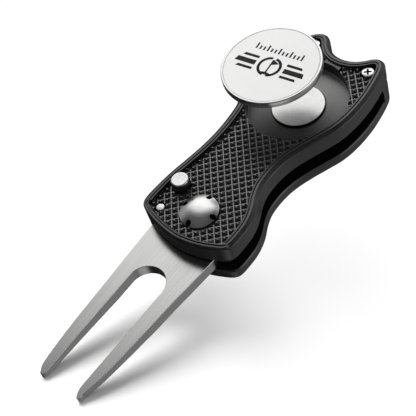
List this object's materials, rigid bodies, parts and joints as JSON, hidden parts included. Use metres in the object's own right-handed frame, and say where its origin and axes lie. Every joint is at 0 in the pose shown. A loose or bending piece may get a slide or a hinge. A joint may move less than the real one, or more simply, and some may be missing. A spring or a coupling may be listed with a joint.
{
  "type": "divot repair tool",
  "caption": "Folding divot repair tool: waisted handle with knurled grip, two-prong fork on a button-released pivot, and a round ball marker lifted off its magnet.",
  "frame": {"origin": "on the fork's pivot axis, at the underside of the back body", "axes": "+X along the handle from the pivot towards the two rear horns, so the open fork points to -X; +Y to the side the release button is on; +Z out of the knurled front face"},
  "size_m": [0.1123, 0.0326, 0.0257],
  "materials": {
    "black_paint": "black satin paint over a die-cast body",
    "grip_black": "moulded diamond grip, satin",
    "steel": "satin brushed stainless",
    "bright_steel": "polished",
    "spring_steel": "drawn wire",
    "bronze": "sintered",
    "nickel": "nickel plate",
    "marker_face": "pale enamel, satin",
    "polymer": "natural acetal"
  },
  "bodies": {
    "handle": {"front_body": "black_paint", "grip_front": "grip_black", "grip_rear_left": "grip_black", "grip_rear_right": "grip_black", "back_body": "black_paint", "pivot_cap": "bright_steel", "pivot_sleeve": "steel", "washer_front": "polymer", "washer_back": "polymer", "torsion_spring": "spring_steel", "button_spring": "spring_steel", "stop_pin": "bright_steel", "rear_screw_left": "bright_steel", "rear_screw_right": "bright_steel", "magnet": "nickel"},
    "fork": {"fork": "steel", "pivot_bush": "bronze"},
    "button": {"release_button": "black_paint", "button_cap": "bright_steel"},
    "marker": {"ball_marker": "steel", "marker_inlay": "marker_face"}
  },
  "joints": [
    {"name": "fork_fold", "type": "hinge", "parent": "handle", "child": "fork", "pos_m": [0, 0, 0.0053], "axis": [0, 0, 1], "range_deg": [0, 180], "stiffness_Nm_per_rad": 0.01, "springref_deg": -20.05, "deforming": ["torsion_spring"]},
    {"name": "button_press", "type": "slide", "parent": "handle", "child": "button", "axis": [0, 0, -1], "range_m": [0, 0.0015], "stiffness_N_per_m": 1200, "springref_m": -0.0003, "deforming": ["button_spring"]},
    {"name": "marker_lift", "type": "slide", "parent": "handle", "child": "marker", "axis": [-0.1987, 0.1818, 0.9631], "range_m": [-0.01485, 0]}
  ]
}
